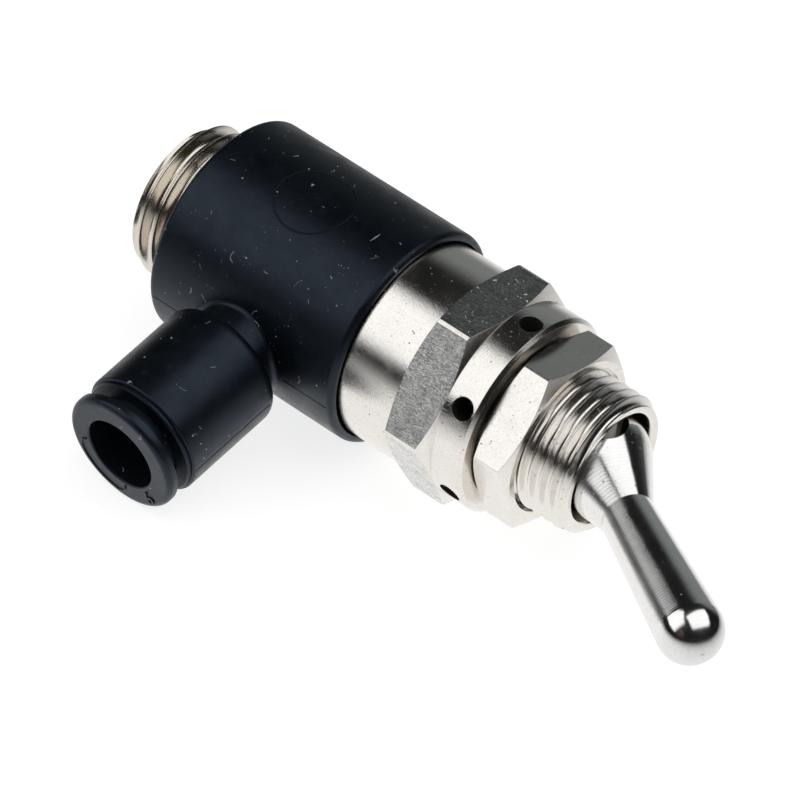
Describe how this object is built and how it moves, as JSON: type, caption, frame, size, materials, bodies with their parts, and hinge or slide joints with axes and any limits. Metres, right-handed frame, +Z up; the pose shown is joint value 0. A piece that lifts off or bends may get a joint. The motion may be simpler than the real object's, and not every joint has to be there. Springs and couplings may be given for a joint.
{
  "type": "hand lever air valve",
  "caption": "Toggle valve for compressed air: threaded brass stem with a swivelling push-in tube elbow, vented hexagon collar, panel bushing with nut, and a tilting lever.",
  "frame": {"origin": "on the main axis, in the back face of the polymer housing that seats on the port", "axes": "+X along the main axis from the port thread towards the lever; +Z up, square to a flat of the hexagon and along the lever's pin; the tube branch points to -Y, 12.6 degrees below level"},
  "size_m": [0.0621, 0.033, 0.0193],
  "materials": {
    "nickel_brass": "nickel plated, turned",
    "nickel_lever": "nickel plated, fine lathe lines",
    "pin_steel": "ground",
    "brass_inner": "bare turned brass",
    "spring_steel": "bright spring steel",
    "black_polymer": "moulded, satin",
    "collet_polymer": "moulded, satin",
    "seal_rubber": "nitrile rubber"
  },
  "bodies": {
    "valve": {"valve_body": "nickel_brass", "panel_bushing": "nickel_brass", "lever_pin": "pin_steel", "housing_seal_rear": "seal_rubber", "housing_seal_front": "seal_rubber", "housing_clip": "spring_steel", "port_seal": "seal_rubber", "spring_seat": "brass_inner", "port_circlip": "spring_steel", "return_spring": "spring_steel"},
    "nut": {"panel_nut": "nickel_brass"},
    "lever": {"lever": "nickel_lever"},
    "shuttle": {"plunger": "black_polymer", "spool": "brass_inner", "supply_seal": "seal_rubber", "spool_guide_seal": "seal_rubber", "exhaust_seal": "seal_rubber"},
    "elbow": {"housing": "black_polymer", "tube_seal": "seal_rubber", "seal_spacer": "black_polymer", "gripping_ring": "spring_steel", "end_ring": "black_polymer"},
    "collet": {"release_collet": "collet_polymer"}
  },
  "joints": [
    {"name": "lever_tilt", "type": "hinge", "parent": "valve", "child": "lever", "pos_m": [0.03775, 0, 0], "axis": [0, 0, 1], "range_deg": [0, 60]},
    {"name": "plunger_stroke", "type": "slide", "parent": "valve", "child": "shuttle", "axis": [-1, 0, 0], "range_m": [0, 0.00157], "deforming": ["return_spring"]},
    {"name": "elbow_swivel", "type": "hinge", "parent": "valve", "child": "elbow", "pos_m": [0.00925, 0, 0], "axis": [1, 0, 0], "continuous": true},
    {"name": "collet_release", "type": "slide", "parent": "elbow", "child": "collet", "axis": [0, 0.9759, 0.2181], "range_m": [0, 0.0012], "stiffness_N_per_m": 300},
    {"name": "nut_travel", "type": "slide", "parent": "valve", "child": "nut", "axis": [1, 0, 0], "range_m": [0, 0.0039]}
  ],
  "couplings": [
    {"joint": "lever_tilt", "follows": "plunger_stroke", "rad_per_m": 666.67}
  ]
}
